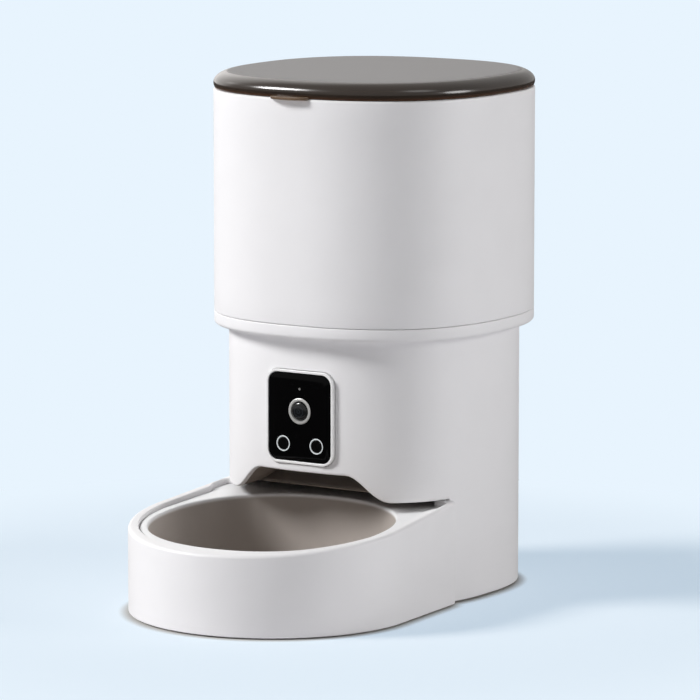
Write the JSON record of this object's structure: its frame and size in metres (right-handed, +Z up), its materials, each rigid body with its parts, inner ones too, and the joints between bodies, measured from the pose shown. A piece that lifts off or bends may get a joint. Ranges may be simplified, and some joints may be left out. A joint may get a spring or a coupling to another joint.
{
  "type": "camera pet feeder",
  "caption": "Tall rounded hopper feeder with a camera panel, smoky lift-off lid, geared portioning rotor and a slide-out bowl tray.",
  "frame": {"origin": "centre of the overall box at floor level", "axes": "+Z up, -Y towards the bowl and camera side, +X to the right seen from the front"},
  "size_m": [0.19, 0.3014, 0.3272],
  "materials": {
    "white_abs": "fine matte moulding",
    "inner_abs": "plain moulding",
    "smoke_lid": "smoky translucent gloss",
    "seal": "translucent silicone",
    "panel_glass": "polished black",
    "chrome": "polished",
    "silver": "satin",
    "lens_glass": "coated lens",
    "black_plastic": "fine matte",
    "light_pipe": "milky light guide",
    "circuit": "solder-masked board",
    "gear_nylon": "moulded acetal",
    "steel": "plated",
    "brass": "turned",
    "rubber": "matte",
    "cell_wrap": "printed sleeve, plain",
    "soft_grey": "soft moulded silicone"
  },
  "bodies": {
    "base": {"base_shell": "white_abs", "deck_plate": "inner_abs", "food_chute": "inner_abs", "recess_liner": "inner_abs", "ir_emitter": "black_plastic", "ir_receiver": "black_plastic", "panel_bezel": "chrome", "panel_glass": "panel_glass", "lens_ring": "silver", "lens": "lens_glass", "camera_barrel": "black_plastic", "camera_board": "circuit", "indicator_window": "light_pipe", "feed_light_ring": "light_pipe", "feed_switch": "black_plastic", "pairing_light_ring": "light_pipe", "pairing_switch": "black_plastic", "gear_bracket": "black_plastic", "idler_pin": "steel", "motor": "steel", "shaft_bush": "brass", "main_board": "circuit", "speaker": "black_plastic", "power_inlet": "black_plastic", "battery_holder": "black_plastic", "battery_cell_1": "cell_wrap", "battery_cell_2": "cell_wrap", "battery_cell_3": "cell_wrap", "contact_front": "steel", "contact_rear": "steel", "base_plate": "white_abs", "base_screw_1": "steel", "base_screw_2": "steel", "base_screw_3": "steel", "base_screw_4": "steel", "foot_1": "rubber", "foot_2": "rubber", "foot_3": "rubber", "foot_4": "rubber"},
    "hopper": {"hopper_shell": "white_abs", "hopper_funnel": "inner_abs", "hopper_floor": "inner_abs", "outlet_guard": "soft_grey"},
    "lid": {"lid_cover": "smoke_lid", "lid_seal": "seal", "desiccant_box": "inner_abs"},
    "desiccant_cap": {"desiccant_cap": "inner_abs"},
    "rotor": {"rotor": "soft_grey", "agitator": "soft_grey", "rotor_knob": "inner_abs"},
    "drive_gear": {"drive_gear": "gear_nylon"},
    "idler_gear": {"idler_gear": "gear_nylon"},
    "motor_pinion": {"motor_pinion": "brass"},
    "feed_button": {"feed_button": "panel_glass"},
    "pairing_button": {"pairing_button": "panel_glass"},
    "battery_door": {"battery_door": "white_abs"},
    "tray": {"tray": "white_abs", "tray_pad_nose": "rubber", "tray_pad_rear": "rubber"},
    "bowl": {"bowl": "white_abs"}
  },
  "joints": [
    {"name": "hopper_lift", "type": "slide", "parent": "base", "child": "hopper", "axis": [0, 0, 1], "range_m": [0, 0.06]},
    {"name": "lid_lift", "type": "slide", "parent": "hopper", "child": "lid", "axis": [0, 0, 1], "range_m": [0, 0.07]},
    {"name": "cap_twist", "type": "hinge", "parent": "lid", "child": "desiccant_cap", "pos_m": [0, 0.0539, 0.15], "axis": [0, 0, 1], "range_deg": [0, 30]},
    {"name": "rotor_spin", "type": "hinge", "parent": "hopper", "child": "rotor", "pos_m": [0, 0.0539, 0.15], "axis": [0, 0, 1], "continuous": true},
    {"name": "drive_gear_spin", "type": "hinge", "parent": "base", "child": "drive_gear", "pos_m": [0, 0.0539, 0.15], "axis": [0, 0, 1], "continuous": true},
    {"name": "idler_spin", "type": "hinge", "parent": "base", "child": "idler_gear", "pos_m": [0, 0.0819, 0.15], "axis": [0, 0, 1], "continuous": true},
    {"name": "pinion_spin", "type": "hinge", "parent": "base", "child": "motor_pinion", "pos_m": [0, 0.1079, 0.15], "axis": [0, 0, 1], "continuous": true},
    {"name": "tray_slide", "type": "slide", "parent": "base", "child": "tray", "axis": [0, -1, 0], "range_m": [0, 0.09]},
    {"name": "bowl_lift", "type": "slide", "parent": "tray", "child": "bowl", "axis": [0, 0, 1], "range_m": [0, 0.004]},
    {"name": "feed_press", "type": "slide", "parent": "base", "child": "feed_button", "axis": [0, 1, 0], "range_m": [0, 0.0008], "stiffness_N_per_m": 500},
    {"name": "pairing_press", "type": "slide", "parent": "base", "child": "pairing_button", "axis": [0, 1, 0], "range_m": [0, 0.0008], "stiffness_N_per_m": 500},
    {"name": "battery_door_release", "type": "slide", "parent": "base", "child": "battery_door", "axis": [0, 0, -1], "range_m": [0, 0.02]}
  ],
  "couplings": [
    {"joint": "drive_gear_spin", "follows": "rotor_spin", "ratio": 1},
    {"joint": "idler_spin", "follows": "rotor_spin", "ratio": -3.6667},
    {"joint": "pinion_spin", "follows": "rotor_spin", "ratio": 12.222}
  ]
}
